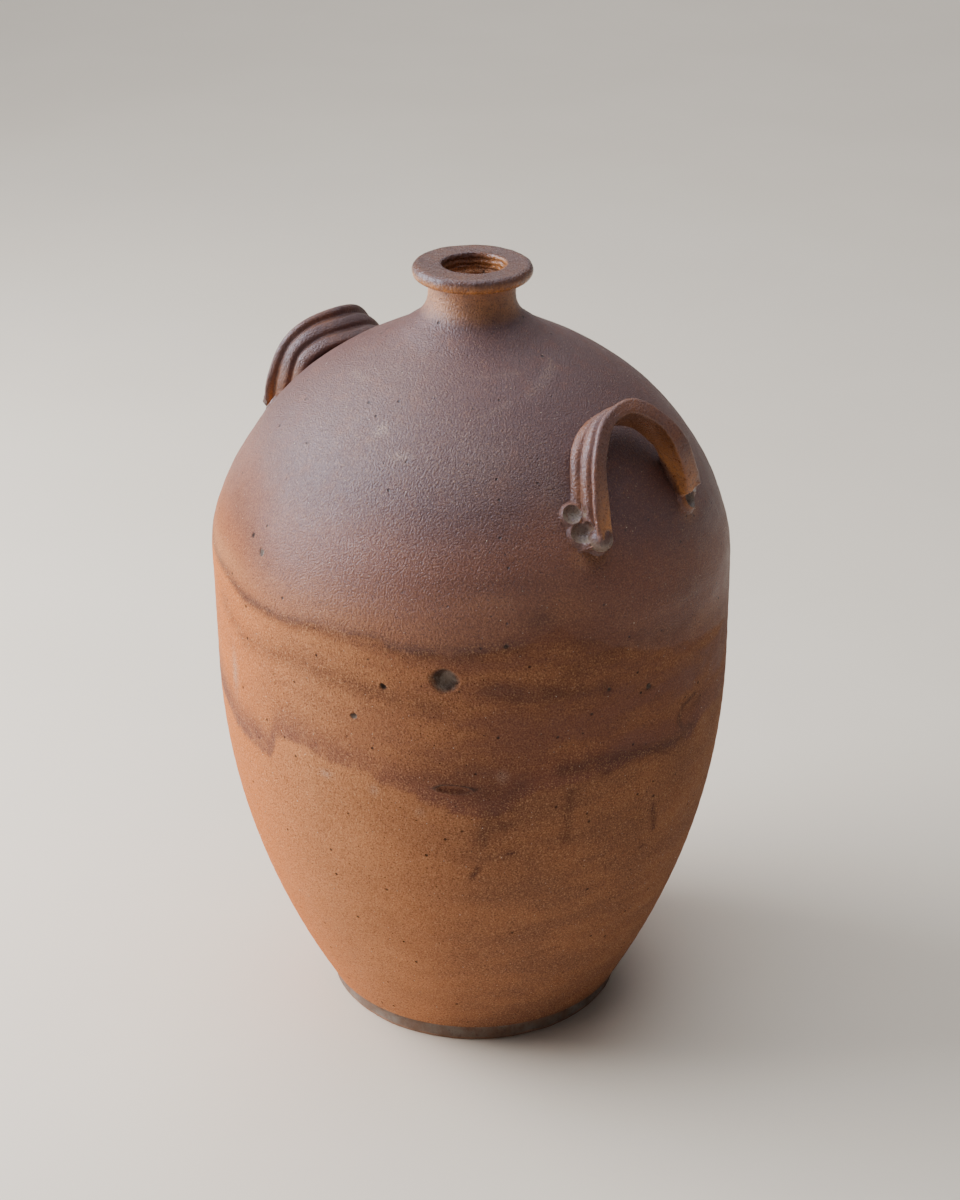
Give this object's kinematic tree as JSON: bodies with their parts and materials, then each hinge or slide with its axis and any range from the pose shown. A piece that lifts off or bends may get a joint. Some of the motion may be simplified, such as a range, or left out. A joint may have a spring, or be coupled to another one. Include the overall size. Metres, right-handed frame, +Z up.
{
  "type": "stoneware storage jar",
  "caption": "Ovoid stoneware storage jar with a short narrow neck, a flat ring round the mouth and ridged strap handles on its shoulder.",
  "frame": {"origin": "centre of the foot's underside, on the surface that the jar stands on", "axes": "+Z up through the mouth; the handles sit on the shoulder towards +X and -X; the picture looks down from between +X and -Y"},
  "size_m": [0.406, 0.406, 0.621],
  "materials": {
    "foot_clay": "rough bare stoneware, grey-brown",
    "bare_clay": "matt orange-tan fired clay",
    "salt_brown": "satin dark brown with an orange-peel skin",
    "neck_brown": "thin satin orange-brown",
    "handle_brown": "satin brown, worn to orange on its edges"
  },
  "bodies": {
    "root": {"foot_disc": "foot_clay", "lower_body": "bare_clay", "shoulder": "salt_brown", "neck": "neck_brown", "mouth_rim": "salt_brown", "handle_right": "handle_brown", "handle_left": "handle_brown"}
  },
  "joints": []
}
